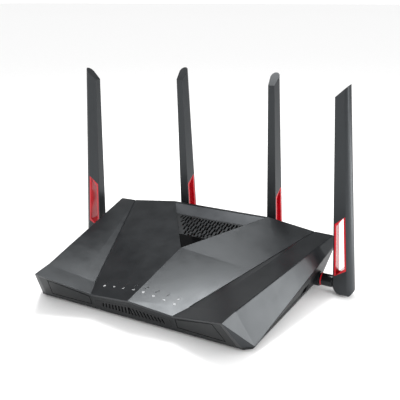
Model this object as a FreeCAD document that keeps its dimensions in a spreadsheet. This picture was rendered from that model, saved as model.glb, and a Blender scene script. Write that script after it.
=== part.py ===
import FreeCAD, Part
import os

# Four-antenna wireless router. Millimetres, +Z up, front towards -Y.
# The origin is on the table, under the centre of the object's bounding box.

V = FreeCAD.Vector
doc = FreeCAD.newDocument("router")
sheet = doc.addObject("Spreadsheet::Sheet", "Sizes")

# ---------------------------------------------------------------- driving dimensions
SIZES = {
    # casing, right-hand half: every corner is mirrored in the YZ plane
    "base_level": 3.0,
    "wall": 2.4,
    "rear_face": 72.0,
    "rear_base_half": 132.0,
    "front_base": -98.2,
    "front_base_half": 118.0,
    "tip_half": 126.6,
    "tip_y": -92.0,
    "tip_level": 5.0,
    "rim_half": 146.8,
    "rim_level": 45.0,
    "crown_half": 63.5,
    "crown_y": 77.0,
    "crown_level": 61.0,
    "shoulder_half": 121.5,
    "shoulder_y": 74.0,
    "shoulder_level": 54.5,
    "corner_half": 143.0,
    "corner_level": 54.0,
    "nose_y": -107.9,
    "nose_level": 27.5,
    "peak_y": -11.5,
    "peak_level": 44.8,
    "lip_half": 47.6,
    "lip_y": -104.4,
    "lip_level": 21.9,
    "valley_half": 56.3,
    "valley_y": -86.7,
    "valley_level": 24.8,
    "horn_half": 106.6,
    "horn_y": -118.0,
    "horn_level": 36.7,
    "bezel_half": 109.0,
    "bezel_y": -96.3,
    "bezel_level": 38.1,
    # recess with the vent grille
    "grille_depth": 6.6,
    "grille_thick": 2.0,
    "strip_front": 62.0,
    "strip_rear": 74.2,
    "strip_drop": 0.5,
    "badge_rear": 15.0,
    "slot_width": 2.3,
    # panel grooves and the seam between the two halves
    "groove_deep": 0.6,
    "groove_wide": 0.9,
    "seam_gap": 0.3,
    # indicator row
    "led_row": -83.5,
    "led_first": 6.1,
    "led_pitch": 11.9,
    "led_count": 8,
    "led_long": 4.4,
    "led_wide": 0.9,
    # circuit board
    "board_level": 7.4,
    "board_thick": 1.6,
    "board_half": 108.0,
    "board_front": -74.0,
    "board_rear": 68.0,
    # antenna fittings
    "aerial_level": 13.0,
    "side_seat": 139.0,
    "side_y": 47.0,
    "rear_seat": 80.0,
    "rear_half": 60.0,
    "barrel_radius": 3.1,
    "seat_radius": 8.0,
    "collar_radius": 6.6,
    "collar_long": 14.5,
    "hinge_out": 27.5,
    "pin_radius": 1.9,
    "running_gap": 0.06,
    "blade_half_depth": 11.3,
    "blade_inner_wide": 12.4,
    "blade_outer_wide": 16.4,
    "blade_bulge": 6.4,
    "blade_top": 226.0,
    "tongue_wide": 5.6,
    "foot_of_blade": 12.0,
    "pin_half": 5.0,
    # rear sockets and buttons
    "jack_wide": 15.6,
    "jack_high": 13.4,
    "jack_long": 18.0,
    "jack_gap": 16.4,
    "button_radius": 2.6,
    "power_radius": 4.2,
    "button_level": 16.0,
    # feet and screws
    "foot_radius": 7.0,
    "screw_radius": 1.4,
    "screw_head": 2.7,
    "post_top": 19.0,
}


class Dim:
    """A length that knows its value and the spreadsheet expression it comes from."""

    def __init__(self, value, text):
        self.value = float(value)
        self.text = text

    def joined(self, other, sign, value):
        return Dim(value, "(" + self.text + " " + sign + " " + dim(other).text + ")")

    def __add__(self, other):
        return self.joined(other, "+", self.value + dim(other).value)

    def __sub__(self, other):
        return self.joined(other, "-", self.value - dim(other).value)

    def __mul__(self, other):
        return self.joined(other, "*", self.value * dim(other).value)

    def __truediv__(self, other):
        return self.joined(other, "/", self.value / dim(other).value)

    def __neg__(self):
        return Dim(-self.value, "(0 - " + self.text + ")")

    def __radd__(self, other):
        return dim(other) + self

    def __rsub__(self, other):
        return dim(other) - self

    def __rmul__(self, other):
        return dim(other) * self


def dim(number):
    """Wrap a plain number, so that it can be mixed with sheet values."""
    if isinstance(number, Dim):
        return number
    return Dim(number, repr(float(number)) if number >= 0 else "(0 - " + repr(float(-number)) + ")")


def fill_sheet():
    """Write every driving dimension into its own aliased cell."""
    for row, (alias, value) in enumerate(SIZES.items(), start=1):
        sheet.set("A" + str(row), alias.replace("_", " "))
        sheet.set("B" + str(row), str(value))
        sheet.setAlias("B" + str(row), alias)
    doc.recompute()


def size(alias):
    """A driving dimension, tied to its cell."""
    return Dim(sheet.get(alias), "Sizes." + alias)


# ---------------------------------------------------------------- small builders
def bind(obj, prop, length):
    """Tie one property to the sheet, or set it when it's a plain number."""
    obj.setExpression(prop, dim(length).text)


def put(obj, x, y, z):
    """Place an object, each coordinate tied to the sheet."""
    for axis, length in (("x", x), ("y", y), ("z", z)):
        bind(obj, ".Placement.Base." + axis, length)
    return obj


def turn(obj, axis, degrees):
    """Turn an object about its own origin."""
    obj.Placement = FreeCAD.Placement(obj.Placement.Base, FreeCAD.Rotation(axis, degrees))
    return obj


def box(name, low, high):
    """A box between two opposite corners."""
    obj = doc.addObject("Part::Box", name)
    for prop, a, b in zip(("Length", "Width", "Height"), low, high):
        bind(obj, prop, b - dim(a) if isinstance(b, Dim) else dim(b) - a)
    return put(obj, *low)


def rod(name, radius, start, length, axis):
    """A cylinder that starts at a point and runs along X, Y or Z, or against it."""
    obj = doc.addObject("Part::Cylinder", name)
    bind(obj, "Radius", radius)
    bind(obj, "Height", length)
    turns = {"z": (V(1, 0, 0), 0), "-z": (V(1, 0, 0), 180), "x": (V(0, 1, 0), 90),
             "-x": (V(0, 1, 0), -90), "y": (V(1, 0, 0), -90), "-y": (V(1, 0, 0), 90)}
    turn(obj, *turns[axis])
    return put(obj, *start)


def fuse(name, shapes):
    """One solid, or one group of touching solids, from several."""
    obj = doc.addObject("Part::MultiFuse", name)
    obj.Shapes = shapes
    return obj


def group(name, shapes):
    """Identical loose pieces kept as separate solids."""
    obj = doc.addObject("Part::Compound", name)
    obj.Links = shapes
    return obj


def cut(name, base, tools):
    """The base with every tool taken out of it."""
    obj = doc.addObject("Part::Cut", name)
    obj.Base = base
    obj.Tool = tools[0] if len(tools) == 1 else fuse(name + "_tools", tools)
    return obj


def common(name, shapes):
    """What all the shapes share."""
    obj = doc.addObject("Part::MultiCommon", name)
    obj.Shapes = shapes
    return obj


def feature(name, shape):
    """A solid made with Part's own functions from sheet values."""
    obj = doc.addObject("Part::Feature", name)
    obj.Shape = shape
    return obj


def prism(name, corners, travel):
    """A flat polygon pushed along a vector."""
    outline = Part.makePolygon([V(*c) for c in corners + corners[:1]])
    return feature(name, Part.Face(outline).extrude(V(*travel)))


NODES = []


def node(obj, label):
    """Name a finished sub-part: the label is also its file's name."""
    obj.Label = label
    NODES.append(obj)
    return obj


# ---------------------------------------------------------------- faceted casing
STEP_SHARE = 0.28
MID_SHARE = 0.45


def casing_corners(inset):
    """Right-hand corners of the casing, moved inwards by a wall thickness."""
    s = {alias: size(alias).value for alias in SIZES}
    outside = {
        "corner": (s["corner_half"], s["shoulder_y"], s["corner_level"]),
        "shoulder": (s["shoulder_half"], s["shoulder_y"], s["shoulder_level"]),
        "crown": (s["crown_half"], s["crown_y"], s["crown_level"]),
        "rim": (s["rim_half"], s["rear_face"], s["rim_level"]),
        "rim_shoulder": (s["shoulder_half"], s["rear_face"], s["rim_level"]),
        "rim_crown": (s["crown_half"], s["rear_face"], s["rim_level"]),
        "heel": (s["rear_base_half"], s["rear_face"], s["base_level"]),
        "horn": (s["horn_half"], s["horn_y"], s["horn_level"]),
        "bezel": (s["bezel_half"], s["bezel_y"], s["bezel_level"]),
        "valley": (s["valley_half"], s["valley_y"], s["valley_level"]),
        "lip": (s["lip_half"], s["lip_y"], s["lip_level"]),
        "tip": (s["tip_half"], s["tip_y"], s["tip_level"]),
        "toe": (s["tip_half"] - 2.0, s["tip_y"] - 1.0, s["base_level"]),
        "front": (s["front_base_half"], s["front_base"], s["base_level"]),
        "sill": (s["lip_half"], s["front_base"], s["base_level"]),
        "nose": (0.0, s["nose_y"], s["nose_level"]),
        "peak": (0.0, s["peak_y"], s["peak_level"]),
        "keel": (0.0, s["front_base"], s["base_level"]),
    }
    inwards = {
        "corner": (1.3, 1, 1), "shoulder": (0, 1, 1), "crown": (0, 1, 1),
        "rim": (1.3, 1, 0), "rim_shoulder": (0, 1, 0), "rim_crown": (0, 1, 0),
        "heel": (1, 1, -1), "horn": (1.3, -1.6, 1), "bezel": (1.3, 0, 1),
        "valley": (0, 0, 1), "lip": (0, -1, 1), "tip": (1.6, -1, -0.5),
        "toe": (1.6, -1, -1), "front": (1, -1, -1), "sill": (0, -1, -1),
        "nose": (0, -1, 1), "peak": (0, 0, 1), "keel": (0, -1, -1),
    }
    corners = {n: V(*[p - inset * d for p, d in zip(outside[n], inwards[n])]) for n in outside}
    run = corners["bezel"] - corners["valley"]
    corners["step"] = corners["valley"] + run * STEP_SHARE
    run = corners["shoulder"] - corners["valley"]
    corners["mid"] = corners["valley"] + run * MID_SHARE
    return corners


def mirrored(point):
    """The same corner on the left-hand side."""
    return V(-point.x, point.y, point.z)


def flat(points):
    """A flat facet."""
    return Part.Face(Part.makePolygon(points + points[:1]))


def twisted(start_a, end_a, start_b, end_b):
    """A gently twisted facet between two straight edges."""
    return Part.makeRuledSurface(Part.makeLine(start_a, end_a), Part.makeLine(start_b, end_b))


def band(right, left, names):
    """A flat facet that spans both sides of the casing."""
    back = [n for n in names[::-1] if n != "keel"]
    return flat([right[n] for n in names] + [left[n] for n in back])


def casing_solid(inset):
    """The whole closed body, outside when inset is 0 and inside when it's the wall."""
    right = casing_corners(inset)
    left = {n: mirrored(p) for n, p in right.items()}
    faces = []
    for c in (right, left):
        faces += [
            twisted(c["nose"], c["peak"], c["valley"], c["mid"]),
            twisted(c["peak"], c["crown"], c["mid"], c["shoulder"]),
            flat([c["nose"], c["lip"], c["valley"]]),
            flat([c["valley"], c["step"], c["shoulder"], c["mid"]]),
            twisted(c["step"], c["shoulder"], c["bezel"], c["corner"]),
            flat([c["horn"], c["bezel"], c["step"]]),
            twisted(c["horn"], c["lip"], c["step"], c["valley"]),
            flat([c["horn"], c["bezel"], c["tip"]]),
            flat([c["bezel"], c["corner"], c["tip"]]),
            flat([c["corner"], c["rim"], c["tip"]]),
            twisted(c["corner"], c["shoulder"], c["rim"], c["rim_shoulder"]),
            twisted(c["shoulder"], c["crown"], c["rim_shoulder"], c["rim_crown"]),
            flat([c["horn"], c["tip"], c["front"]]),
            flat([c["tip"], c["toe"], c["front"]]),
            twisted(c["horn"], c["lip"], c["front"], c["sill"]),
            twisted(c["lip"], c["nose"], c["sill"], c["keel"]),
            twisted(c["tip"], c["rim"], c["toe"], c["heel"]),
        ]
    faces.append(flat([left["crown"], right["peak"], right["crown"]]))
    faces.append(twisted(left["crown"], right["crown"], left["rim_crown"], right["rim_crown"]))
    faces.append(band(right, left, ["heel", "rim", "rim_shoulder", "rim_crown"]))
    faces.append(band(right, left, ["keel", "sill", "front", "toe", "heel"]))
    shell = Part.Shell(faces)
    shell.sewShape()
    solid = Part.Solid(Part.Shell(shell.Faces))
    if solid.Volume < 0:
        solid.reverse()
    return solid


def recess_plane(y, drop):
    """Height of the recess's plane through the peak and the two crowns, less a drop."""
    rise = (size("crown_level") - size("peak_level")).value
    run = (size("crown_y") - size("peak_y")).value
    return size("peak_level").value + rise / run * (y - size("peak_y").value) - drop


def recess_prism(name, shrink, low, high, rear=None):
    """An upright slice of the triangular recess between two sloping levels."""
    back = size("crown_y").value if rear is None else rear
    tip = size("peak_y").value
    half = size("crown_half").value * (back - tip) / (size("crown_y").value - tip)
    side = half - shrink * 1.5
    corners = [(0, tip + shrink * 1.7), (side, back - shrink), (-side, back - shrink)]
    bottom = [V(x, y, recess_plane(y, low)) for x, y in corners]
    face = Part.Face(Part.makePolygon(bottom + bottom[:1]))
    return feature(name, face.extrude(V(0, 0, low - high)))


# ---------------------------------------------------------------- zones that divide the casing
def rim_level(y):
    """Height of the seam between the two halves of the case."""
    rise = (size("rim_level") - size("tip_level")).value
    run = (size("rear_face") - size("tip_y")).value
    return size("tip_level").value + rise / run * (y - size("tip_y").value)


def lower_zone(name, raised):
    """Everything under the seam, with the whole floor."""
    floor_top = (size("base_level") + size("wall")).value
    meet = size("tip_y").value + (floor_top - size("tip_level").value) / (rim_level(1) - rim_level(0))
    outline = [(-130, floor_top), (meet, floor_top), (130, rim_level(130))]
    corners = [(-200, -130, 0)] + [(-200, y, z + raised) for y, z in outline] + [(-200, 130, 0)]
    return prism(name, corners, (400, 0, 0))


def front_zone(name, inset):
    """The upright front face, under the lip of the top shell."""
    floor_top = (size("base_level") + size("wall")).value
    drop = 2.8 + inset
    outer = size("front_base_half").value - 6 - inset
    half = [(outer, floor_top + inset), (outer - 8, size("horn_level").value - drop),
            (size("lip_half").value, size("lip_level").value - drop), (0, size("nose_level").value - drop)]
    outline = half + [(-x, z) for x, z in half[2::-1]]
    return prism(name, [(x, -130, z) for x, z in outline], (0, 48, 0))


def panel_outline(inset):
    """One of the two recessed panels beside the intake mesh."""
    return [(50 + inset, 8.2 + inset), (102 - inset, 8.2 + inset),
            (95 - inset, 31.0 - inset), (50 + inset, 19.2 - inset)]


def panel_grooves():
    """Shallow outlines cut around the two front panels."""
    within = feature("groove_floor", casing_solid(size("groove_deep").value))
    frames = []
    for side in (1, -1):
        tag = "_r" if side > 0 else "_l"
        outer = prism("groove_outer" + tag, [(side * x, -130, z) for x, z in panel_outline(0)], (0, 48, 0))
        wide = size("groove_wide").value
        inner = prism("groove_inner" + tag, [(side * x, -131, z) for x, z in panel_outline(wide)], (0, 50, 0))
        frames.append(cut("groove" + tag, outer, [inner, within]))
    return frames


def crease_grooves():
    """Fine grooves along the long upper creases on both sides."""
    c = casing_corners(0)
    lines = []
    for start, end in (("bezel", "corner"), ("valley", "shoulder")):
        for low, high in ((c[start], c[end]), (mirrored(c[start]), mirrored(c[end]))):
            run = high - low
            lines.append(Part.makeCylinder(size("groove_wide").value * 0.6, run.Length, low, run))
    return feature("crease_grooves", Part.makeCompound(lines))


def mesh_zone(name, inset):
    """The middle of the front face, where the intake mesh sits."""
    half = [(44 - inset, 7.5 + inset), (44 - inset, 15.5 - inset), (0, 21 - inset)]
    outline = half + [(-x, z) for x, z in half[1::-1]]
    return prism(name, [(x, -130, z) for x, z in outline], (0, 48, 0))


def led_places():
    """Across positions of the indicator slots, in pairs about the middle."""
    count = int(size("led_count").value)
    return [size("led_first") + (i - count / 2) * size("led_pitch") for i in range(count // 2, count)]


def led_bars(name, wide, low, high):
    """Eight slanted upright bars, one for each indicator."""
    bars = []
    for i, x in enumerate(led_places()):
        for side, place in (("r", x), ("l", -x)):
            bar = doc.addObject("Part::Box", name + "_" + side + str(i))
            bind(bar, "Length", size("led_long") + wide)
            bind(bar, "Width", size("led_wide") + wide)
            bind(bar, "Height", dim(high - low))
            turn(bar, V(0, 0, 1), 62)
            bars.append(put(bar, place - 1, size("led_row") - 2, dim(low)))
    return bars


SCREW_PLACES = [(100, -80), (-100, -80), (118, 38), (-118, 38)]
BOARD_PLACES = [(98, -62), (-98, -62), (98, 34), (-98, 34)]
FOOT_PLACES = [(102, -82), (-102, -82), (112, 54), (-112, 54)]


# ---------------------------------------------------------------- casing sub-parts
def make_casing():
    """The skin of the case, its top shell, light guides and front face."""
    wall = size("wall")
    outside = feature("outside", casing_solid(0))
    inside = feature("inside", casing_solid(wall.value))
    skin = cut("skin", outside, [inside])

    # top shell: opened over the recess, with a rim wall down to the grille
    well_in = recess_space()
    well_block = common("well_block", [recess_prism("well_out", -1.8, 11, -3, 76.2), outside])
    under = strip_ramp("well_under", size("strip_front").value + 3, -2.1, -60)
    well = cut("well", well_block, [well_in, under])
    post_top = size("post_top")
    bosses = [rod("boss_" + str(i), dim(3.6), (dim(x), dim(y), post_top), dim(50), "z")
              for i, (x, y) in enumerate(SCREW_PLACES)]
    boss_block = common("boss_block", [fuse("bosses", bosses), inside])
    below = lower_zone("lower_a", size("seam_gap").value)
    blank = cut("top_blank", skin, [below, front_zone("front_a", -0.15), well_in])
    whole = fuse("top_whole", [blank, well, boss_block])
    threads = [rod("thread_" + str(i), size("screw_radius"), (dim(x), dim(y), post_top - 1), dim(9), "z")
               for i, (x, y) in enumerate(SCREW_PLACES)]
    tools = threads + led_bars("led_hole", 0.0, 15, 40) + [crease_grooves()]
    node(cut("top_cut", whole, tools), "top_shell")

    # light guides: clear bars that fill the slots and end over the lamps
    guides = common("guide_trim", [outside, group("guide_set", led_bars("guide", 0.0, 11.2, 40))])
    node(guides, "light_guides")

    # front face with its intake mesh
    face_block = common("face_block", [skin, front_zone("front_b", 0)])
    node(cut("face_cut", face_block, [mesh_zone("mesh_a", 0)] + panel_grooves()), "front_fascia")
    mesh_block = common("mesh_block", [skin, mesh_zone("mesh_b", 0.12)])
    node(cut("mesh_cut", mesh_block, [mesh_slots()]), "front_mesh")
    return skin


def mesh_slots():
    """Slanted slots through the intake mesh."""
    slots = []
    pitch = 4.0
    for i in range(-9, 10):
        lean = 3.0 if i < 0 else -3.0
        x = i * pitch
        low = 9.0
        high = 14.0 + 4.5 * (1 - abs(i) / 10)
        outline = [(x - 0.8, low), (x + 0.8, low), (x + 0.8 + lean / 2, high), (x - 0.8 + lean / 2, high)]
        wire = Part.makePolygon([V(a, -130, b) for a, b in outline + outline[:1]])
        slots.append(Part.Face(wire).extrude(V(0, 60, 0)))
    return feature("mesh_slots", Part.makeCompound(slots))


def side_vents():
    """Slanted teeth low on both side walls."""
    teeth = []
    for side in (1, -1):
        for i in range(26):
            y = -74 + i * 4.2
            outline = [(y, 6.0), (y + 2.2, 6.0), (y + 5.0, 11.5), (y + 2.8, 11.5)]
            wire = Part.makePolygon([V(side * 118, a, b) for a, b in outline + outline[:1]])
            if not -6 < y - size("side_y").value + 14 < 30:
                teeth.append(Part.Face(wire).extrude(V(side * 30, 0, 0)))
    return feature("side_vents", Part.makeCompound(teeth))


def floor_vents():
    """Rows of slots through the floor of the case."""
    slots = []
    for row in (-40, -26, 18, 32):
        for i in range(-8, 9):
            if abs(i * 9) > 72 or abs(i) in (6, 7):
                continue
            slots.append(Part.makeBox(2.6, 9, 6, V(i * 9 - 1.3, row, 1)))
    return feature("floor_vents", Part.makeCompound(slots))


def keyhole(name, x):
    """A wall-hanging hole: a round entry and a narrow neck towards the front."""
    entry = rod(name + "_entry", dim(4.2), (dim(x), dim(4), dim(0)), dim(10), "z")
    neck = box(name + "_neck", (dim(x - 2.1), dim(-6), dim(0)), (dim(x + 2.1), dim(4), dim(10)))
    end = rod(name + "_end", dim(2.1), (dim(x), dim(-6), dim(0)), dim(10), "z")
    return [entry, neck, end]


def seats():
    """Where the four antennas screw on: name, place and outward direction."""
    level = size("aerial_level")
    return [
        ("right", (size("side_seat"), size("side_y"), level), 0, "x"),
        ("left", (-size("side_seat"), size("side_y"), level), 180, "-x"),
        ("rear_right", (size("rear_half"), size("rear_seat"), level), 90, "y"),
        ("rear_left", (-size("rear_half"), size("rear_seat"), level), 90, "y"),
    ]


def along(place, axis, distance):
    """A point moved outwards from an antenna seat."""
    x, y, z = place
    if axis == "x":
        return (x + distance, y, z)
    if axis == "-x":
        return (x - distance, y, z)
    return (x, y + distance, z)


SEAT_DEPTH = 10.6


def make_base(skin):
    """The lower half of the case with its bosses, posts, vents and cut-outs."""
    block = common("base_block", [skin, lower_zone("lower_b", 0)])
    blank = cut("base_blank", block, [front_zone("front_c", -0.1)])
    added = [blank]
    tools = [side_vents(), floor_vents()]
    for name, place, _, axis in seats():
        start = along(place, axis, -SEAT_DEPTH)
        added.append(rod("seat_" + name, size("seat_radius"), start, dim(SEAT_DEPTH), axis))
        hole = along(place, axis, -SEAT_DEPTH - 5)
        radius = size("barrel_radius") + size("running_gap")
        tools.append(rod("seat_hole_" + name, radius, hole, dim(SEAT_DEPTH + 10), axis))
    for i, (x, y) in enumerate(SCREW_PLACES):
        added.append(rod("post_" + str(i), dim(4.4), (dim(x), dim(y), size("base_level")),
                         size("post_top") - size("base_level"), "z"))
        start = (dim(x), dim(y), dim(0))
        tools.append(rod("post_hole_" + str(i), size("screw_radius") + 0.2, start, 30, "z"))
        tools.append(rod("post_sink_" + str(i), size("screw_head") + 0.3, start, 5.2, "z"))
    for i, (x, y) in enumerate(BOARD_PLACES):
        high = size("board_level") - size("base_level")
        added.append(rod("stand_" + str(i), dim(3.2), (dim(x), dim(y), size("base_level")), high, "z"))
        tools.append(rod("stand_hole_" + str(i), size("screw_radius"), (dim(x), dim(y), dim(4.2)), 8, "z"))
    for side in (1, -1):
        tools += keyhole("key_" + ("r" if side > 0 else "l"), side * 60)
    tools += rear_cutouts()
    node(cut("base_cut", fuse("base_whole", added), tools), "bottom_case")


def jack_places():
    """Across positions of the five network sockets."""
    return [(i - 2) * size("jack_gap") for i in range(5)]


BUTTONS = [("wps_button", -102, "button_radius"), ("reset_button", -112.5, "button_radius"),
           ("wifi_button", -123, "button_radius"), ("power_button", 96, "power_radius")]
USB_X = -82
POWER_X = 116
SIDE_USB_Y = 16


def rear_cutouts():
    """Openings in the rear wall, and one in the right-hand side wall."""
    board_top = size("board_level") + size("board_thick")
    tools = []
    for i, x in enumerate(jack_places()):
        half = size("jack_wide") / 2 + 0.2
        low = (x - half, dim(64), board_top - 0.2)
        high = (x + half, dim(80), board_top + size("jack_high") + 0.2)
        tools.append(box("jack_hole_" + str(i), low, high))
    tools.append(box("usb_hole", (USB_X - 7.4, 64, board_top - 0.2), (USB_X + 7.4, 80, board_top + 7.4)))
    tools.append(box("side_usb_hole", (120, SIDE_USB_Y - 7.4, board_top - 0.2),
                     (150, SIDE_USB_Y + 7.4, board_top + 7.4)))
    tools.append(box("power_hole", (POWER_X - 5.2, 64, board_top - 0.2),
                     (POWER_X + 5.2, 80, board_top + 11.2)))
    for name, x, radius in BUTTONS:
        start = (dim(x), dim(64), size("button_level"))
        tools.append(rod(name + "_hole", size(radius) + 0.3, start, 16, "y"))
    return tools


# ---------------------------------------------------------------- recess: grille, trim strip and badge
def slot_outline(points):
    """A round-ended slot that follows a bent centre line."""
    line = Part.makePolygon([V(x, y, 0) for x, y in points])
    return Part.Face(line.makeOffset2D(size("slot_width").value / 2, 0, False, False))


BREAKS = ([17.5, 30.0, 45.5, 60.6], [17.5, 23.8, 38.0, 52.0, 60.6], [17.5, 27.0, 34.5, 49.0, 60.6])
SLOT_LEAN = 0.24
SLOT_JOG = 0.9


def grille_slots():
    """Long slots with a small jog, broken in a staggered pattern that fits the triangle."""
    slots = []
    tip = size("peak_y").value
    slope = size("crown_half").value / (size("crown_y").value - tip)
    for i in range(-13, 14):
        stops = BREAKS[i % 3]
        for start, end in zip(stops, stops[1:]):
            x = i * 4.1 - SLOT_LEAN * (end - 38)
            low = max(start + 1.2, tip + (abs(x) + 5.6) / slope)
            high = end - 1.6
            if high - low < 2.5:
                continue
            middle = (low + high) / 2
            run = [(x + SLOT_LEAN * (high - low), low), (x + SLOT_LEAN * (high - middle), middle),
                   (x + SLOT_LEAN * (high - middle) + SLOT_JOG, middle + 1.0), (x + SLOT_JOG, high)]
            slots.append(slot_outline(run).extrude(V(0, 0, 80)))
    return feature("grille_slots", Part.makeCompound(slots))


def strip_top(y):
    """Height of the sloping strip behind the grille."""
    front = size("strip_front").value
    rear = size("strip_rear").value
    low = recess_plane(front, size("grille_depth").value)
    high = recess_plane(rear, size("strip_drop").value)
    return low + (high - low) * (y - front) / (rear - front)


def strip_ramp(name, front, lift, reach):
    """A prism along the strip: its sloping face is moved by lift and it's thickened by reach."""
    rear = size("strip_rear").value + (0.2 if reach > 0 else 6)
    face = [(y, strip_top(y) - size("grille_thick").value + lift) for y in (front, rear)]
    outline = face + [(y, z + reach) for y, z in face[::-1]]
    return prism(name, [(-80, y, z) for y, z in outline], (160, 0, 0))


def recess_space():
    """The hollow of the recess: deep over the grille and following the strip behind it."""
    front = size("strip_front").value
    deep = recess_prism("space_deep", 0, 14, -6, front + 1)
    whole = recess_prism("space_whole", 0, 14, -6, size("strip_rear").value + 0.2)
    ramp = strip_ramp("space_ramp", front, -0.1, 30)
    return fuse("recess_space", [deep, common("space_rear", [whole, ramp])])


def make_recess():
    """The grille in the triangular recess, the strip behind it and the badge in front."""
    depth = size("grille_depth").value
    thick = size("grille_thick").value
    front = size("strip_front").value
    plate = recess_prism("grille_plate", 0.25, depth + thick, depth, front)
    node(cut("grille_cut", plate, [grille_slots()]), "vent_grille")

    rear = size("strip_rear").value
    face = [(y, strip_top(y)) for y in (front, rear)]
    outline = face + [(y, z - thick) for y, z in face[::-1]]
    bar = prism("strip_bar", [(-70, y, z) for y, z in outline], (140, 0, 0))
    node(common("strip_trim", [bar, recess_prism("strip_zone", 0.15, 14, -4, rear + 0.2)]), "grille_frame")

    badge = recess_prism("badge_plate", 0.25, depth, 1.4, size("badge_rear").value)
    node(badge, "badge_plate")


# ---------------------------------------------------------------- circuit board and what it carries
def make_board():
    """The circuit board with its lamps, chips, heat sink and shield cans."""
    low = size("board_level")
    top = low + size("board_thick")
    half = size("board_half")
    main = box("board_main", (-half, size("board_front"), low), (half, size("board_rear"), top))
    tongue = box("board_tongue", (dim(-52), dim(-88), low), (dim(52), size("board_front"), top))
    wings = box("board_wings", (dim(-127), dim(52), low), (dim(122), size("board_rear"), top))
    tools = [rod("board_hole_" + str(i), size("screw_radius") + 0.2, (dim(x), dim(y), dim(5)), 8, "z")
             for i, (x, y) in enumerate(BOARD_PLACES)]
    for side in (1, -1):
        tools.append(box("board_notch_" + ("r" if side > 0 else "l"), (side * size("rear_half") - 7, 60, 0),
                         (side * size("rear_half") + 7, 80, 20)))
    node(cut("board_cut", fuse("board_whole", [main, tongue, wings]), tools), "main_board")

    lamps = []
    for i, x in enumerate(led_places()):
        for side, place in (("r", x), ("l", -x)):
            lamps.append(box("lamp_" + side + str(i), (place - 1, size("led_row") - 1, top),
                             (place + 1, size("led_row") + 1, top + 1)))
    node(group("lamps", lamps), "indicator_leds")

    chips = [(-16, -20, 14, 14), (14, -18, 9, 12), (14, -34, 9, 12), (-40, -22, 10, 8), (-10, 34, 20, 14)]
    blocks = [box("chip_" + str(i), (dim(x), dim(y), top), (dim(x + a), dim(y + b), top + 1.4))
              for i, (x, y, a, b) in enumerate(chips)]
    node(group("chips", blocks), "chips")
    node(box("pad", (dim(-16), dim(-20), top + 1.4), (dim(-2), dim(-6), top + 2.0)), "thermal_pad")
    make_heatsink(top + 2.0)

    cans = []
    for i, (x, y) in enumerate([(62, -30), (-92, -30)]):
        outer = box("can_out_" + str(i), (dim(x), dim(y), top), (dim(x + 30), dim(y + 34), top + 3.4))
        inner = box("can_in_" + str(i), (dim(x + 0.4), dim(y + 0.4), top - 1),
                    (dim(x + 29.6), dim(y + 33.6), top + 3))
        cans.append(cut("can_" + str(i), outer, [inner]))
    node(group("cans", cans), "shield_cans")


def make_heatsink(level):
    """A finned aluminium block over the processor."""
    parts = [box("sink_base", (dim(-26), dim(-30), level), (dim(26), dim(4), level + 2))]
    for i in range(9):
        x = dim(-26 + i * 6.3)
        parts.append(box("sink_fin_" + str(i), (x, dim(-30), level + 2), (x + 1.6, dim(4), level + 12)))
    node(fuse("sink", parts), "heatsink")


def make_sockets():
    """Sockets on the rear edge of the board and one at the right-hand side."""
    top = size("board_level") + size("board_thick")
    rear = size("rear_face")
    jacks = []
    for i, x in enumerate(jack_places()):
        half = size("jack_wide") / 2
        body = box("jack_body_" + str(i), (x - half, rear - size("jack_long"), top),
                   (x + half, rear + 0.6, top + size("jack_high")))
        mouth = box("jack_mouth_" + str(i), (x - 5.9, rear - 12, top + 2.2), (x + 5.9, rear + 5, top + 9.2))
        latch = box("jack_latch_" + str(i), (x - 3, rear - 12, top + 9.2), (x + 3, rear + 5, top + 11.4))
        jacks.append(cut("jack_" + str(i), body, [mouth, latch]))
    node(group("jacks", jacks[:4]), "lan_jacks")
    node(jacks[4], "wan_jack")

    rear_usb = usb("usb_a", (dim(USB_X - 7.2), rear - 14, top),
                   (dim(USB_X + 7.2), rear + 0.6, top + 7.2), "y")
    side_usb = usb("usb_b", (dim(116), dim(SIDE_USB_Y - 7.2), top),
                   (dim(132.8), dim(SIDE_USB_Y + 7.2), top + 7.2), "x")
    node(rear_usb, "rear_usb_socket")
    node(side_usb, "side_usb_socket")

    body = box("power_body", (dim(POWER_X - 5), rear - 14, top), (dim(POWER_X + 5), rear + 0.6, top + 11))
    bore = rod("power_bore", 2.9, (dim(POWER_X), rear - 9, top + 5.8), 20, "y")
    pin = rod("power_pin", 0.95, (dim(POWER_X), rear - 10, top + 5.8), 9, "y")
    node(fuse("power_whole", [cut("power_cut", body, [bore]), pin]), "power_jack")


def usb(name, low, high, way):
    """A metal socket with its tongue."""
    body = box(name + "_body", low, high)
    x0, y0, z0 = low
    x1, y1, z1 = high
    if way == "y":
        mouth = box(name + "_mouth", (x0 + 0.9, y1 - 11, z0 + 0.9), (x1 - 0.9, y1 + 4, z1 - 0.9))
        tongue = box(name + "_tongue", (x0 + 2.2, y1 - 12, z1 - 3.4), (x1 - 2.2, y1 - 2, z1 - 1.7))
    else:
        mouth = box(name + "_mouth", (x1 - 11, y0 + 0.9, z0 + 0.9), (x1 + 4, y1 - 0.9, z1 - 0.9))
        tongue = box(name + "_tongue", (x1 - 12, y0 + 2.2, z1 - 3.4), (x1 - 2, y1 - 2.2, z1 - 1.7))
    return fuse(name, [cut(name + "_cut", body, [mouth]), tongue])


def make_buttons():
    """Push buttons in the rear wall and the switches behind them."""
    top = size("board_level") + size("board_thick")
    level = size("button_level")
    switches = []
    for name, x, radius in BUTTONS:
        stem = rod(name + "_stem", size(radius), (dim(x), dim(65.5), level), 8.3, "y")
        collar = rod(name + "_collar", size(radius) + 1, (dim(x), dim(67.9), level), 1.2, "y")
        node(fuse(name + "_whole", [stem, collar]), name)
        switches.append(box(name + "_switch", (dim(x - 3), dim(55), top), (dim(x + 3), dim(63.6), level + 3)))
    node(group("switches", switches), "button_switches")


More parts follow.
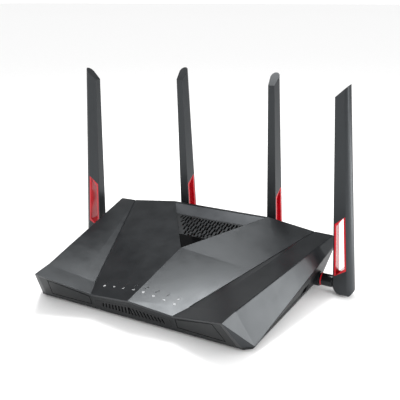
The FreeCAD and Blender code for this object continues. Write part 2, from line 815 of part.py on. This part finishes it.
def make_fasteners():
    """Feet, case screws, board screws and the blank label underneath."""
    feet = [rod("foot_" + str(i), size("foot_radius"), (dim(x), dim(y), dim(0)), size("base_level"), "z")
            for i, (x, y) in enumerate(FOOT_PLACES)]
    node(group("feet", feet), "rubber_feet")
    screws = []
    for i, (x, y) in enumerate(SCREW_PLACES):
        head = rod("screw_head_" + str(i), size("screw_head"), (dim(x), dim(y), dim(3.4)), 1.8, "z")
        shank = rod("screw_shank_" + str(i), size("screw_radius"), (dim(x), dim(y), dim(5.0)), 21, "z")
        drive = rod("screw_drive_" + str(i), 1.1, (dim(x), dim(y), dim(3.0)), 1.2, "z")
        screws.append(cut("screw_" + str(i), fuse("screw_whole_" + str(i), [head, shank]), [drive]))
    node(group("screws", screws), "case_screws")
    tops = []
    top = size("board_level") + size("board_thick")
    for i, (x, y) in enumerate(BOARD_PLACES):
        head = rod("fix_head_" + str(i), size("screw_head"), (dim(x), dim(y), top), 1.7, "z")
        shank = rod("fix_shank_" + str(i), size("screw_radius"), (dim(x), dim(y), dim(4.6)), top - 4, "z")
        tops.append(fuse("fix_" + str(i), [head, shank]))
    node(group("fixings", tops), "board_screws")
    node(box("label", (dim(-34), dim(-14), size("base_level") - 0.3), (dim(34), dim(10), size("base_level"))),
         "label_plate")


# ---------------------------------------------------------------- antennas, each in its seat's own frame
BLADE_LOW = -10.0
BLADE_LEAN_IN = 7.5
BLADE_LEAN_OUT = 15.0


def blade_part(level):
    """How far up the blade a height is, from 0 at its foot to 1 at its top."""
    high = size("blade_top").value - size("aerial_level").value
    return (level - BLADE_LOW) / (high - BLADE_LOW)


def inner_edge(level):
    """Distance of the blade's inner face from the seat at a height above the hinge."""
    part = blade_part(level)
    return size("hinge_out").value - size("blade_half_depth").value - BLADE_LEAN_IN * part


def outer_edge(level):
    """Distance of the edge where the flat side meets the rounded face."""
    reach = size("blade_half_depth").value - size("blade_bulge").value
    return size("hinge_out").value + reach - BLADE_LEAN_OUT * blade_part(level)


def blade_section(level, inset=0.0):
    """The blade's outline at one height above the hinge: flat sides and a rounded outer face."""
    part = blade_part(level)
    inner = inner_edge(level) + inset
    outer = outer_edge(level)
    half_in = size("blade_inner_wide").value / 2 - 2.5 * part - inset
    half_out = size("blade_outer_wide").value / 2 - 3.0 * part - inset
    bulge = size("blade_bulge").value - inset
    a = V(inner, -half_in, level)
    b = V(outer, -half_out, level)
    c = V(outer, half_out, level)
    d = V(inner, half_in, level)
    arc = Part.Arc(b, V(outer + bulge, 0, level), c).toShape()
    return Part.Wire([Part.makeLine(a, b), arc, Part.makeLine(c, d), Part.makeLine(d, a)])


def blade_loft(low, high, inset=0.0):
    """The blade's tapering body between two heights above the hinge."""
    return Part.makeLoft([blade_section(low, inset), blade_section(high, inset)], True, True)


def across(name, outline, half):
    """A prism across the blade, from an outline in its side view."""
    return prism(name, [(x, -half, z) for x, z in outline], (0, 2 * half, 0))


def window_outline(inset):
    """The slanted window low on the blade, in side view."""
    low_in, low_out, high_in, high_out = 9.0 + inset, 18.0 + inset, 67.0 - inset, 77.0 - inset
    return [(inner_edge(low_in) + 1.2 + inset, low_in), (outer_edge(low_out) - 0.4 - inset, low_out),
            (outer_edge(high_out) - 0.4 - inset, high_out), (inner_edge(high_in) + 1.2 + inset, high_in)]


def settle(obj, place, angle):
    """Move a piece from its seat's frame to its place on the case."""
    turn(obj, V(0, 0, 1), angle)
    return put(obj, *place)


def bolt_axis(name, radius, start, length):
    """A cylinder along the seat's axis."""
    return rod(name, radius, (start, 0, 0), length, "x")


def hinge_axis(name, radius, half):
    """A cylinder along the hinge, across the blade."""
    return rod(name, radius, (size("hinge_out"), -half, 0), 2 * half, "y")


def make_collar(tag, place, angle):
    """The turning collar with its hinge tongue, and the thin ring behind it."""
    pin = size("hinge_out")
    bore = size("barrel_radius") + size("running_gap")
    barrel = bolt_axis("collar_barrel" + tag, size("collar_radius"), 2.6, size("collar_long") - 2.6)
    tongue = box("tongue" + tag, (size("collar_long") - 1, -size("tongue_wide") / 2, -4.6),
                 (pin, size("tongue_wide") / 2, 4.6))
    eye = hinge_axis("eye" + tag, 4.6, size("tongue_wide") / 2)
    holes = [bolt_axis("collar_bore" + tag, bore, -1, 11),
             hinge_axis("eye_bore" + tag, size("pin_radius") + size("running_gap"), 6)]
    collar = cut("collar_cut" + tag, fuse("collar_whole" + tag, [barrel, tongue, eye]), holes)
    node(settle(collar, place, angle), "swivel_collar" + tag)
    disc = bolt_axis("ring_disc" + tag, size("collar_radius") + 0.3, 1.4, 1.2)
    ring = cut("ring_cut" + tag, disc, [bolt_axis("ring_bore" + tag, bore, 0, 4)])
    node(settle(ring, place, angle), "accent_ring" + tag)


def make_blade(tag, place, angle):
    """One antenna blade, its window frame, its hinge pin and the aerial strip inside."""
    pin = size("hinge_out").value
    high = size("blade_top").value - size("aerial_level").value
    solid = feature("blade_loft" + tag, blade_loft(BLADE_LOW, high))
    round_foot = fuse("blade_keep" + tag, [hinge_axis("blade_foot" + tag, size("foot_of_blade"), 14),
                                           box("blade_rest" + tag, (-20, -14, 0), (60, 14, high + 10))])
    body = common("blade_body" + tag, [solid, round_foot])
    slant = across("blade_slant" + tag, [(-20, 172), (60, 244), (60, 260), (-20, 260)], 14)
    window = across("blade_window" + tag, window_outline(0), 14)
    slot = box("blade_slot" + tag, (-5, -3.1, -14), (pin + 5.6, 3.1, 5.6))
    hollow = feature("blade_hollow" + tag, blade_loft(84, 190, 1.8))
    hole = hinge_axis("blade_pin_hole" + tag, size("pin_radius") + 0.01, size("pin_half") + 0.05)
    blade = cut("blade_cut" + tag, body, [slant, window, slot, hollow, hole])
    node(settle(blade, place, angle), "antenna_blade" + tag)

    ring = feature("frame_loft" + tag, blade_loft(BLADE_LOW, high))
    block = common("frame_block" + tag, [ring, across("frame_zone" + tag, window_outline(0.05), 14)])
    frame = cut("frame_cut" + tag, block, [across("frame_hole" + tag, window_outline(1.9), 14)])
    node(settle(frame, place, angle), "window_frame" + tag)

    rod_obj = hinge_axis("pin_rod" + tag, size("pin_radius"), size("pin_half"))
    node(settle(group("pin_group" + tag, [rod_obj]), place, angle), "hinge_pin" + tag)

    low_x = inner_edge(88) + 4.0
    top_x = inner_edge(186) + 3.4
    strip = across("element" + tag, [(low_x, 88), (low_x + 4.4, 88), (top_x + 3.4, 186), (top_x, 186)], 0.4)
    node(settle(group("element_group" + tag, [strip]), place, angle), "antenna_element" + tag)


def make_antennas():
    """Four antennas with the sockets, nuts and leads that hold and feed them."""
    sockets = []
    nuts = []
    leads = []
    board_top = size("board_level") + size("board_thick")
    for name, place, angle, axis in seats():
        tag = "_" + name
        make_collar(tag, place, angle)
        make_blade(tag, place, angle)
        flange = bolt_axis("flange" + tag, 5.6, 0, 1.2)
        barrel = bolt_axis("barrel" + tag, size("barrel_radius"), -13, 22.2)
        bore = bolt_axis("barrel_bore" + tag, 1.2, 3, 8)
        socket = cut("socket_cut" + tag, fuse("socket_whole" + tag, [flange, barrel]), [bore])
        sockets.append(settle(socket, place, angle))
        hexagon = doc.addObject("Part::Prism", "hexagon" + tag)
        hexagon.Polygon = 6
        bind(hexagon, "Circumradius", dim(5.2))
        bind(hexagon, "Height", dim(1.7))
        turn(hexagon, V(0, 1, 0), 90)
        put(hexagon, -SEAT_DEPTH - 1.75, 0, 0)
        nut = cut("nut_cut" + tag, hexagon, [bolt_axis("nut_bore" + tag, size("barrel_radius"), -14, 6)])
        nuts.append(settle(nut, place, angle))
        lead = bolt_axis("lead_run" + tag, 0.9, -40, 27)
        drop = board_top - size("aerial_level")
        block = box("lead_block" + tag, (-43.4, -1.8, drop), (-40, 1.8, 1.6))
        leads.append(settle(fuse("lead_whole" + tag, [lead, block]), place, angle))
    node(group("sockets", sockets), "antenna_sockets")
    node(group("nuts", nuts), "antenna_nuts")
    node(group("leads", leads), "antenna_leads")


# ---------------------------------------------------------------- build, check and write
def check_all():
    """Stop before writing anything if any object or sub-part failed."""
    for obj in doc.Objects:
        if "Invalid" in obj.State or "Error" in obj.State:
            raise RuntimeError(obj.Name + " failed: " + str(obj.State))
    for obj in NODES:
        if obj.Shape.isNull() or not obj.Shape.isValid() or not obj.Shape.Solids:
            raise RuntimeError(obj.Label + " has no valid shape")


def write_all():
    """Write each sub-part to its own STEP file."""
    os.makedirs("parts", exist_ok=True)
    for obj in NODES:
        obj.Shape.exportStep("parts/" + obj.Label + ".step")
        print(obj.Label, len(obj.Shape.Solids), round(obj.Shape.Volume / 1000, 2), "cm3")


fill_sheet()
make_base(make_casing())
make_recess()
make_board()
make_sockets()
make_buttons()
make_fasteners()
make_antennas()
doc.recompute()
check_all()
write_all()
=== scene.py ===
import bpy
import math
from mathutils import Euler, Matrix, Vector


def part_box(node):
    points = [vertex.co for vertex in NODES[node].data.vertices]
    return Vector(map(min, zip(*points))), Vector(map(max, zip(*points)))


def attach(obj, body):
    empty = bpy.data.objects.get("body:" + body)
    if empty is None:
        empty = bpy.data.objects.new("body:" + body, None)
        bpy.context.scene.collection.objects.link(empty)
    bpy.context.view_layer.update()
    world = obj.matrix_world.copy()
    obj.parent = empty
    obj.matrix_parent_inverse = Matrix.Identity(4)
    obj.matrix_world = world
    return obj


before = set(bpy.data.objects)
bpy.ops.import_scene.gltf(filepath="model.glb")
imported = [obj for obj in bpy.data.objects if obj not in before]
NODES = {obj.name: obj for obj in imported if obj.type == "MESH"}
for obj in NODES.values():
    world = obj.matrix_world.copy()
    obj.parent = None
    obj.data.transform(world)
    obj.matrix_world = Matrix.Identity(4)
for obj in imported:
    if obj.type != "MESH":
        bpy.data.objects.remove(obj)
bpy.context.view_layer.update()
MM = 0.001
SEATS = ("right", "left", "rear_right", "rear_left")

# Sockets of a colour Mix node, which share their names with the node's other kinds
MIX_FACTOR, MIX_A, MIX_B = 0, 6, 7
MIX_RESULT = 2
# How much lighter the edges are painted, as a painted edge highlight
EDGE_HIGHLIGHT_GAIN = 2.2
COOL = (0.90, 0.96, 1.0, 1.0)


# ---------------------------------------------------------------- node helpers
def new_material(name):
    """An empty node material with its output and a Principled shader."""
    mat = bpy.data.materials.new(name)
    mat.use_nodes = True
    tree = mat.node_tree
    tree.nodes.clear()
    out = tree.nodes.new("ShaderNodeOutputMaterial")
    shader = tree.nodes.new("ShaderNodeBsdfPrincipled")
    tree.links.new(shader.outputs["BSDF"], out.inputs["Surface"])
    return mat, tree, shader


def node(tree, kind, inputs=None, **settings):
    """A node with its settings and unlinked inputs filled in."""
    made = tree.nodes.new(kind)
    for key, value in settings.items():
        setattr(made, key, value)
    for key, value in (inputs or {}).items():
        made.inputs[key].default_value = value
    return made


def link(tree, source, output, target, slot):
    """Join two sockets, each given by its name or its number."""
    tree.links.new(source.outputs[output], target.inputs[slot])


def noise(tree, scale, detail=3.0, rough=0.55, stretch=(1, 1, 1)):
    """Noise in the object's own space, with a scale in features per metre."""
    coord = node(tree, "ShaderNodeTexCoord")
    mapping = node(tree, "ShaderNodeMapping", {"Scale": stretch})
    link(tree, coord, "Object", mapping, "Vector")
    made = node(tree, "ShaderNodeTexNoise", {"Scale": scale, "Detail": detail, "Roughness": rough})
    link(tree, mapping, "Vector", made, "Vector")
    return made


def ramp(tree, source, output, low, high, colour_low, colour_high):
    """A colour ramp between two stops."""
    made = node(tree, "ShaderNodeValToRGB")
    made.color_ramp.elements[0].position = low
    made.color_ramp.elements[1].position = high
    made.color_ramp.elements[0].color = colour_low
    made.color_ramp.elements[1].color = colour_high
    link(tree, source, output, made, "Fac")
    return made


def spread(tree, source, output, low, high):
    """Map a 0 to 1 value to a range."""
    made = node(tree, "ShaderNodeMapRange", {"From Min": 0.3, "From Max": 0.7, "To Min": low, "To Max": high})
    link(tree, source, output, made, "Value")
    return made


def tint(colour, factor):
    """A colour made lighter or darker, with its alpha added."""
    return tuple(min(1.0, c * factor) for c in colour) + (1.0,)


def edge_mask(tree, radius):
    """Near 0 on flat faces and rising on edges, from a rounded normal against the true one."""
    bevel = node(tree, "ShaderNodeBevel", {"Radius": radius}, samples=6)
    geo = node(tree, "ShaderNodeNewGeometry")
    dot = node(tree, "ShaderNodeVectorMath", operation="DOT_PRODUCT")
    link(tree, bevel, "Normal", dot, 0)
    link(tree, geo, "Normal", dot, 1)
    mask = node(tree, "ShaderNodeMapRange", {"From Min": 1.0, "From Max": 0.8, "To Min": 0.0, "To Max": 1.0})
    link(tree, dot, "Value", mask, "Value")
    return bevel, mask


def moulded(name, colour, rough, grain=2600.0, depth=0.12, edge=0.0006, edge_highlight=0.35, coat=0.0, gloss=0.5):
    """Injection-moulded plastic: spark-eroded grain, cloudy gloss, softened edges that are lightened as a
    painted highlight.
    """
    mat, tree, shader = new_material(name)
    cloud = noise(tree, 55.0, 4.0)
    fine = noise(tree, grain, 2.0, 0.6)
    body = ramp(tree, cloud, "Fac", 0.35, 0.68, tint(colour, 0.88), tint(colour, 1.14))
    bevel, mask = edge_mask(tree, edge)
    # Edges lightened through the edge mask: a painted highlight along the rounded edges
    highlighted_edges = node(tree, "ShaderNodeMix", {MIX_B: tint(colour, 1.0 + EDGE_HIGHLIGHT_GAIN * edge_highlight)}, data_type="RGBA")
    highlight_amount = node(tree, "ShaderNodeMath", {1: edge_highlight}, operation="MULTIPLY")
    link(tree, mask, "Result", highlight_amount, 0)
    link(tree, highlight_amount, 0, highlighted_edges, MIX_FACTOR)
    link(tree, body, "Color", highlighted_edges, MIX_A)
    link(tree, highlighted_edges, MIX_RESULT, shader, "Base Color")
    sheen = spread(tree, cloud, "Fac", rough - 0.035, rough + 0.035)
    link(tree, sheen, "Result", shader, "Roughness")
    bump = node(tree, "ShaderNodeBump", {"Strength": depth, "Distance": 0.00012})
    link(tree, fine, "Fac", bump, "Height")
    link(tree, bevel, "Normal", bump, "Normal")
    link(tree, bump, "Normal", shader, "Normal")
    shader.inputs["Specular IOR Level"].default_value = gloss
    shader.inputs["Specular Tint"].default_value = COOL
    shader.inputs["Coat Weight"].default_value = coat
    shader.inputs["Coat Roughness"].default_value = 0.08
    return mat


def metal(name, colour, rough, stretch=(1, 1, 40)):
    """Drawn or plated metal with fine lines along one axis."""
    mat, tree, shader = new_material(name)
    lines = noise(tree, 900.0, 3.0, 0.6, stretch)
    cloud = noise(tree, 120.0, 3.0)
    body = ramp(tree, cloud, "Fac", 0.3, 0.7, tint(colour, 0.85), tint(colour, 1.1))
    link(tree, body, "Color", shader, "Base Color")
    gloss = spread(tree, lines, "Fac", rough - 0.06, rough + 0.08)
    link(tree, gloss, "Result", shader, "Roughness")
    shader.inputs["Metallic"].default_value = 1.0
    bump = node(tree, "ShaderNodeBump", {"Strength": 0.15, "Distance": 0.00005})
    link(tree, lines, "Fac", bump, "Height")
    link(tree, bump, "Normal", shader, "Normal")
    return mat


def dress(names, mat):
    """Give CAD nodes a finished material."""
    for name in names:
        obj = NODES[name]
        obj.data.materials.clear()
        obj.data.materials.append(mat)


# ---------------------------------------------------------------- materials of the CAD nodes
def dress_case():
    """Casing, front face and the parts of the recess."""
    dress(["top_shell"], moulded("shell_satin", (0.010, 0.011, 0.0125), 0.31, edge_highlight=0.30))
    dress(["front_fascia"], moulded("fascia_satin", (0.006, 0.0065, 0.007), 0.42, edge_highlight=0.25, gloss=0.32))
    dress(["bottom_case"], moulded("case_satin", (0.005, 0.0055, 0.006), 0.45, edge_highlight=0.2, gloss=0.32))
    dress(["front_mesh"], moulded("mesh_black", (0.004, 0.004, 0.0045), 0.40, edge_highlight=0.5, gloss=0.3))
    dress(["vent_grille"], moulded("grille_black", (0.016, 0.017, 0.018), 0.36, edge_highlight=0.5))
    dress(["grille_frame"], moulded("trim_satin", (0.055, 0.058, 0.063), 0.36, edge_highlight=0.2))
    lacquer = moulded("piano_black", (0.002, 0.002, 0.0022), 0.10, depth=0.02, edge_highlight=0.1, gloss=0.2)
    dress(["badge_plate"], lacquer)


def dress_antennas():
    """The four antennas, alike."""
    blade = moulded("blade_satin", (0.0125, 0.0135, 0.015), 0.36, grain=2000.0, depth=0.14, edge_highlight=0.3)
    red = moulded("red_lacquer", (0.50, 0.002, 0.010), 0.24, depth=0.02, edge_highlight=0.05, coat=0.3)
    black = moulded("knuckle_black", (0.005, 0.005, 0.0055), 0.30, edge_highlight=0.3)
    steel = metal("pin_steel", (0.55, 0.56, 0.58), 0.3)
    for seat in SEATS:
        dress(["antenna_blade_" + seat], blade)
        dress(["window_frame_" + seat, "accent_ring_" + seat], red)
        dress(["swivel_collar_" + seat], black)
        dress(["hinge_pin_" + seat], steel)


def dress_insides():
    """Board, sockets, buttons, feet and fixings."""
    board = moulded("solder_mask", (0.012, 0.10, 0.045), 0.35, grain=700.0, depth=0.2, edge_highlight=0.1)
    dress(["main_board"] + ["antenna_element_" + s for s in SEATS], board)
    dress(["chips"], moulded("chip_epoxy", (0.016, 0.016, 0.017), 0.5))
    dress(["thermal_pad"], moulded("pad_silicone", (0.22, 0.30, 0.42), 0.7))
    dress(["heatsink"], metal("extruded_aluminium", (0.72, 0.73, 0.75), 0.32, (1, 40, 1)))
    dress(["shield_cans"], metal("tin_plate", (0.62, 0.62, 0.60), 0.28, (1, 30, 1)))
    dress(["indicator_leds"], moulded("led_epoxy", (0.75, 0.75, 0.70), 0.3))
    dress(["lan_jacks"], moulded("jack_amber", (0.60, 0.36, 0.03), 0.34, edge_highlight=0.15))
    dress(["wan_jack"], moulded("jack_blue", (0.03, 0.13, 0.42), 0.34, edge_highlight=0.15))
    dress(["rear_usb_socket"], metal("usb_shell", (0.62, 0.62, 0.60), 0.25, (1, 30, 1)))
    dress(["side_usb_socket"], moulded("usb_black", (0.010, 0.010, 0.011), 0.35))
    dress(["power_jack", "button_switches"], moulded("socket_black", (0.013, 0.013, 0.014), 0.38))
    keys = moulded("key_satin", (0.030, 0.031, 0.034), 0.42, edge_highlight=0.3)
    dress(["wps_button", "reset_button", "wifi_button", "power_button"], keys)
    dress(["rubber_feet"], moulded("foot_rubber", (0.015, 0.015, 0.015), 0.78, grain=1400.0, depth=0.35))
    dress(["case_screws", "board_screws"], metal("screw_steel", (0.45, 0.46, 0.48), 0.32))
    dress(["label_plate"], moulded("label_film", (0.42, 0.43, 0.45), 0.36, grain=600.0, depth=0.05))
    dress(["antenna_sockets", "antenna_nuts"], metal("black_chrome", (0.10, 0.10, 0.11), 0.24))
    dress(["antenna_leads"], moulded("lead_jacket", (0.012, 0.012, 0.012), 0.5))
    dress(["light_guides"], moulded("guide_smoky", (0.003, 0.003, 0.0035), 0.2, depth=0.02, coat=0.5))


dress_case()
dress_antennas()
dress_insides()


# ---------------------------------------------------------------- small pieces that the CAD leaves out
def solid_mesh(name, blocks, mat):
    """One mesh object from closed six-sided blocks, each given by its eight corners."""
    verts, faces = [], []
    sides = ((0, 3, 2, 1), (4, 5, 6, 7), (0, 1, 5, 4), (1, 2, 6, 5), (2, 3, 7, 6), (3, 0, 4, 7))
    for corners in blocks:
        base = len(verts)
        verts += [tuple(c) for c in corners]
        faces += [tuple(base + i for i in side) for side in sides]
    mesh = bpy.data.meshes.new(name)
    mesh.from_pydata(verts, [], faces)
    mesh.update()
    obj = bpy.data.objects.new(name, mesh)
    bpy.context.scene.collection.objects.link(obj)
    mesh.materials.append(mat)
    return obj


def block(low, high):
    """The eight corners of an upright box."""
    (x0, y0, z0), (x1, y1, z1) = low, high
    flat = ((x0, y0), (x1, y0), (x1, y1), (x0, y1))
    return [(x, y, z0) for x, y in flat] + [(x, y, z1) for x, y in flat]


def arc(start, end, radius, steps=10, centre=(0.0, 0.0)):
    """Points along an arc, with its angles in degrees."""
    angles = [math.radians(start + (end - start) * i / steps) for i in range(steps + 1)]
    return [(centre[0] + radius * math.cos(a), centre[1] + radius * math.sin(a)) for a in angles]


# Generic symbols as pen strokes, about one unit either way from the middle
ICONS = (
    [arc(120, 420, 0.85), [(0.0, 0.15), (0.0, 1.05)]],
    [arc(40, 140, 1.0, 6), arc(40, 140, 0.5, 4), [(-0.12, 0.0), (0.12, 0.0)]],
    [arc(40, 140, 1.0, 6), [(-0.7, -0.5), (0.7, -0.5)]],
    [[(-0.8, -0.7), (-0.8, -0.1)], [(0.0, -0.7), (0.0, 0.4)], [(0.8, -0.7), (0.8, 0.9)]],
    [arc(0, 360, 0.85, 12), [(-0.85, 0.0), (0.85, 0.0)]],
    [[(-0.8, -0.6), (0.8, -0.6), (0.8, 0.5), (-0.8, 0.5), (-0.8, -0.6)]],
    [[(-1.0, 0.0), (1.0, 0.0)], [(0.4, 0.55), (1.0, 0.0), (0.4, -0.55)]],
    [[(-0.9, 0.4), (0.9, 0.4)], [(0.9, -0.4), (-0.9, -0.4)], [(-0.4, -0.9), (-0.9, -0.4)]],
)
ICON_SIZE = 1.2 * MM
ICON_PEN = 0.5 * MM
ICON_PROUD = 0.06 * MM
ICON_ROW = -90.5 * MM
ICON_PITCH = 11.85 * MM
ABOVE_ALL = 300 * MM


def surface_point(obj, x, y):
    """Where an upright line through x, y first meets a piece from above, and the surface's normal."""
    inverse = obj.matrix_world.inverted()
    start = inverse @ Vector((x, y, ABOVE_ALL))
    way = (inverse.to_3x3() @ Vector((0, 0, -1))).normalized()
    _, place, normal, _ = obj.ray_cast(start, way)
    return obj.matrix_world @ place, (obj.matrix_world.to_3x3() @ normal).normalized()


def stroke_blocks(points, place, across, up, normal):
    """A pen stroke as thin blocks that lie on the surface."""
    blocks = []
    for (ax, ay), (bx, by) in zip(points, points[1:]):
        a = place + across * (ax * ICON_SIZE) + up * (ay * ICON_SIZE)
        b = place + across * (bx * ICON_SIZE) + up * (by * ICON_SIZE)
        along = (b - a).normalized()
        side = normal.cross(along) * (ICON_PEN / 2)
        along = along * (ICON_PEN / 4)
        flat = (a - along - side, b + along - side, b + along + side, a - along + side)
        blocks.append([c - normal * ICON_PROUD for c in flat] + [c + normal * ICON_PROUD for c in flat])
    return blocks


def make_icons():
    """A printed symbol in front of each indicator slot."""
    ink = moulded("icon_ink", (0.82, 0.83, 0.84), 0.5, depth=0.03, edge_highlight=0.05)
    shell = NODES["top_shell"]
    middle = (len(ICONS) - 1) / 2
    for i, strokes in enumerate(ICONS):
        x = (i - middle) * ICON_PITCH
        place, normal = surface_point(shell, x, ICON_ROW)
        across = Vector((1, 0, 0)) - normal * normal.x
        across.normalize()
        up = normal.cross(across)
        blocks = []
        for points in strokes:
            blocks += stroke_blocks(points, place, across, up, normal)
        icon = solid_mesh("indicator_icon_" + str(i + 1), blocks, ink)
        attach(icon, "case")


JACKS = 5
JACK_PITCH = 16.4 * MM
JACK_CONTACTS = 8
CONTACT_PITCH = 1.02 * MM
CONTACT_HALF = 0.18 * MM
CONTACT_DEEP = 0.3 * MM
JACK_ROOF = 9.0 * MM
SPRING_BACK = (10.5 * MM, 2.6 * MM)
SPRING_FRONT = (3.5 * MM, 0.5 * MM)
USB_CONTACTS = 4
USB_PITCH = 2.3 * MM
USB_HALF = 0.5 * MM
USB_DEEP = 0.12 * MM
USB_DROP = 3.4 * MM
USB_BACK = 9 * MM
USB_FRONT = 3 * MM


def spring(x, back, front):
    """A sloping contact strip from its low back end to its high front end, each given as y, z."""
    (y0, z0), (y1, z1) = back, front
    flat = ((x - CONTACT_HALF, y0, z0), (x + CONTACT_HALF, y0, z0),
            (x + CONTACT_HALF, y1, z1), (x - CONTACT_HALF, y1, z1))
    return list(flat) + [(cx, cy, cz + CONTACT_DEEP) for cx, cy, cz in flat]


def make_network_contacts(gold):
    """Eight sprung contacts in each network socket."""
    low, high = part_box("lan_jacks")
    roof = low[2] + JACK_ROOF
    back = (high[1] - SPRING_BACK[0], roof - SPRING_BACK[1])
    front = (high[1] - SPRING_FRONT[0], roof - SPRING_FRONT[1])
    blocks = []
    for jack in range(JACKS):
        centre = (jack - (JACKS - 1) / 2) * JACK_PITCH
        for i in range(JACK_CONTACTS):
            x = centre + (i - (JACK_CONTACTS - 1) / 2) * CONTACT_PITCH
            blocks.append(spring(x, back, front))
    springs = solid_mesh("network_contacts", blocks, gold)
    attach(springs, "case")


def make_usb_contacts(gold):
    """Four flat contacts in the rear USB socket."""
    low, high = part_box("rear_usb_socket")
    middle = (low[0] + high[0]) / 2
    under = high[2] - USB_DROP
    strips = []
    for i in range(USB_CONTACTS):
        x = middle + (i - (USB_CONTACTS - 1) / 2) * USB_PITCH
        strips.append(block((x - USB_HALF, high[1] - USB_BACK, under - USB_DEEP),
                            (x + USB_HALF, high[1] - USB_FRONT, under)))
    usb = solid_mesh("usb_contacts", strips, gold)
    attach(usb, "case")


def make_contacts():
    """Gold contacts, which share one material."""
    gold = metal("contact_gold", (0.83, 0.58, 0.22), 0.25)
    make_network_contacts(gold)
    make_usb_contacts(gold)


make_icons()
make_contacts()


# ---------------------------------------------------------------- floor, light and camera
FLOOR_HALF = 40.0
ROOM_LEVEL = 1.12
GLOSS_LEVEL = 0.17


def make_floor():
    """A wide pale floor under the feet."""
    mesh = bpy.data.meshes.new("floor")
    half = FLOOR_HALF
    corners = [(-half, -half, 0), (half, -half, 0), (half, half, 0), (-half, half, 0)]
    mesh.from_pydata(corners, [], [(0, 1, 2, 3)])
    floor = bpy.data.objects.new("floor", mesh)
    bpy.context.scene.collection.objects.link(floor)
    mat, tree, shader = new_material("floor_paper")
    fibres = noise(tree, 40.0, 3.0)
    paper = ramp(tree, fibres, "Fac", 0.3, 0.7, (0.91, 0.91, 0.91, 1), (0.93, 0.93, 0.93, 1))
    link(tree, paper, "Color", shader, "Base Color")
    shader.inputs["Roughness"].default_value = 0.9
    mesh.materials.append(mat)


def softbox(name, place, target, width, height, radiance):
    """A rectangular area light that faces a point, as bright as asked."""
    light = bpy.data.lights.new(name, "AREA")
    light.shape = "RECTANGLE"
    light.size = width
    light.size_y = height
    light.energy = radiance * math.pi * width * height
    obj = bpy.data.objects.new(name, light)
    obj.location = place
    aim = Vector(target) - Vector(place)
    obj.rotation_euler = aim.to_track_quat("-Z", "Y").to_euler()
    obj.visible_camera = False
    bpy.context.scene.collection.objects.link(obj)


def make_world():
    """An even white room, dimmer where it shows in glossy surfaces."""
    world = bpy.data.worlds.new("studio")
    world.use_nodes = True
    tree = world.node_tree
    background = tree.nodes["Background"]
    background.inputs["Color"].default_value = (1.0, 1.0, 1.0, 1.0)
    path = node(tree, "ShaderNodeLightPath")
    level = node(tree, "ShaderNodeMapRange", {"To Min": ROOM_LEVEL, "To Max": GLOSS_LEVEL})
    link(tree, path, "Is Glossy Ray", level, "Value")
    link(tree, level, "Result", background, "Strength")
    bpy.context.scene.world = world


def make_lights():
    """Studio lights: name, place, aim, width, height and radiance of each."""
    softbox("key_above", (-0.290, 0.350, 1.090), (0.03, -0.05, 0.03), 0.36, 0.36, 19.0)
    softbox("rim_right", (0.42, 0.11, 0.07), (0.12, -0.09, 0.03), 0.16, 0.16, 7.0)
    softbox("tall_right", (0.95, -0.30, 0.32), (0.15, 0.05, 0.12), 0.30, 0.60, 7.0)
    softbox("fill_left", (-0.8, -1.3, 0.5), (0, 0, 0.1), 1.0, 0.9, 1.0)
    softbox("back_low", (-0.75, 0.85, 0.34), (0.08, -0.05, 0.03), 0.7, 0.25, 0.5)


CAMERA_PLACE = (0.3237, -0.5185, 0.3038)
CAMERA_TURN = 0.4619
CAMERA_DIP = 0.2629
CAMERA_LENS = 53.69
CAMERA_SHIFT = (-0.1, -0.1)


def make_camera():
    """The camera, turned from straight ahead and dipped towards the floor."""
    data = bpy.data.cameras.new("camera")
    data.sensor_width = 36.0
    data.lens = CAMERA_LENS
    data.shift_x, data.shift_y = CAMERA_SHIFT
    camera = bpy.data.objects.new("camera", data)
    camera.location = CAMERA_PLACE
    camera.rotation_euler = Euler((math.pi / 2 - CAMERA_DIP, 0.0, CAMERA_TURN), "XYZ")
    bpy.context.scene.collection.objects.link(camera)
    bpy.context.scene.camera = camera


bpy.context.scene.view_settings.view_transform = "Standard"
make_floor()
make_world()
make_lights()
make_camera()
